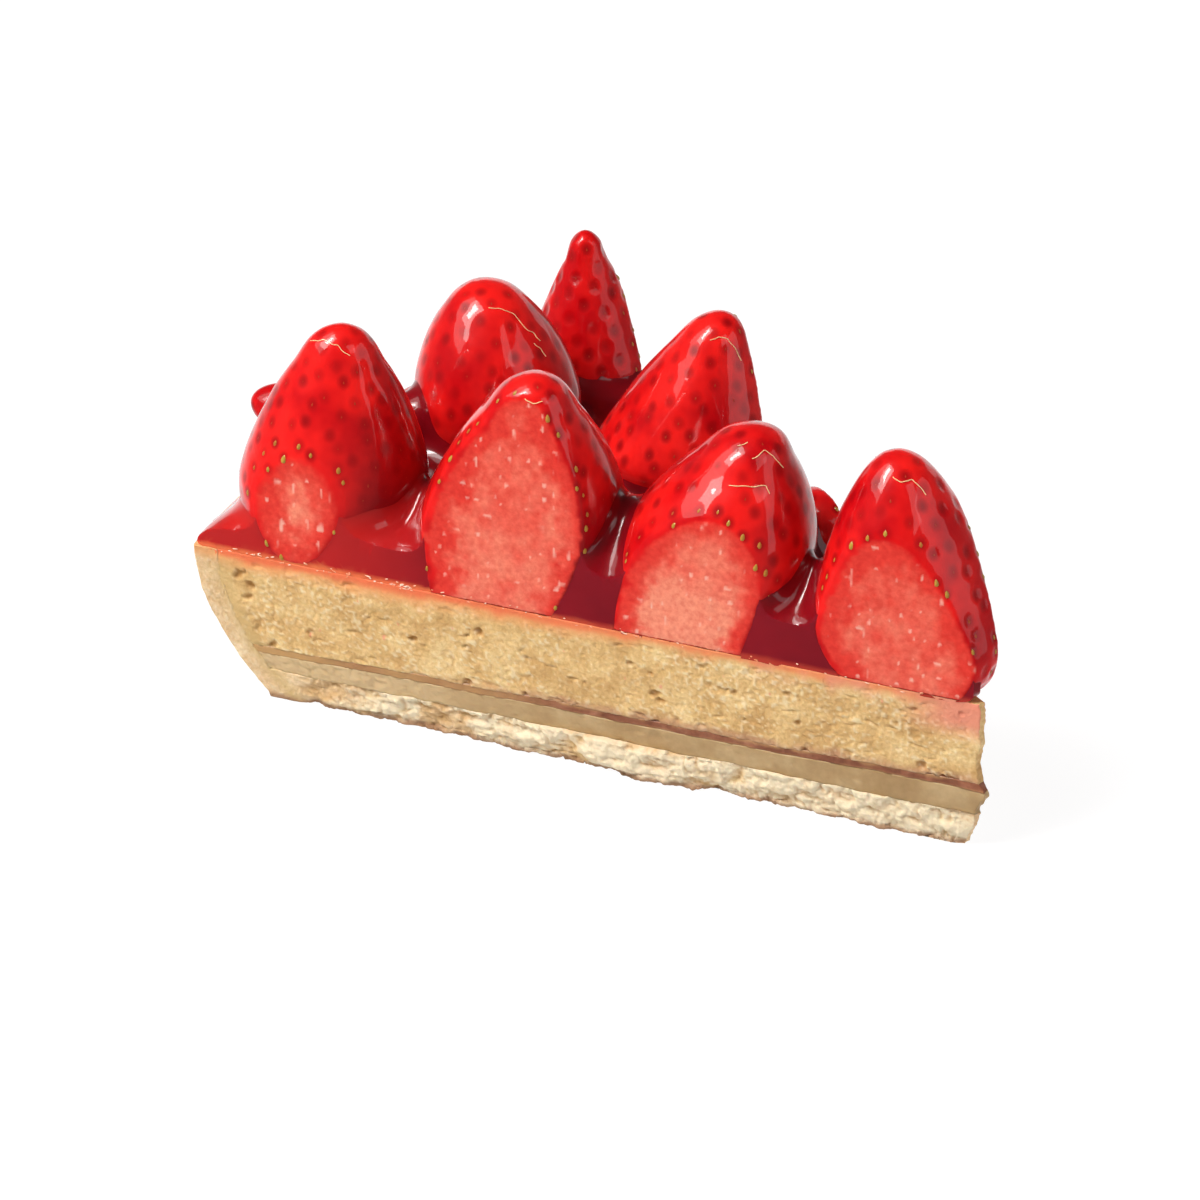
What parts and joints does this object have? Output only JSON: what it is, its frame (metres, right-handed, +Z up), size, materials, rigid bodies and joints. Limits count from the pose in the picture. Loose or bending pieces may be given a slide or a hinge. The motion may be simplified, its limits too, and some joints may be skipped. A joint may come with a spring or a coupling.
{
  "type": "strawberry tart slice",
  "caption": "Wedge of glazed strawberry tart: flaky pastry base, moist layer, jam seam and almond cake, topped with upright whole and cut strawberries set in red glaze.",
  "frame": {"origin": "centre of the bounding box at the flat underside", "axes": "+X from the rim towards the tip of the wedge, -Y towards the near cut, +Z up"},
  "size_m": [0.1267, 0.0856, 0.063],
  "materials": {
    "pastry": "pale flaky baked pastry, browned underneath",
    "moist_layer": "smooth moist beige layer",
    "jam": "thin brown-red jam seam",
    "cake": "open golden almond cake crumb",
    "glaze": "set clear dark-red glaze",
    "strawberry": "glazed red strawberry skin, pale cut flesh"
  },
  "bodies": {
    "root": {"pastry_crust": "pastry", "moist_layer": "moist_layer", "jam_seam": "jam", "almond_cake": "cake", "glaze_pool": "glaze", "strawberry_rim_front": "strawberry", "strawberry_front_tall": "strawberry", "strawberry_front_round": "strawberry", "strawberry_tip": "strawberry", "strawberry_rim_middle": "strawberry", "strawberry_back_middle": "strawberry", "strawberry_rim_back": "strawberry", "strawberry_far_small": "strawberry", "strawberry_rim_lying": "strawberry"}
  },
  "joints": []
}
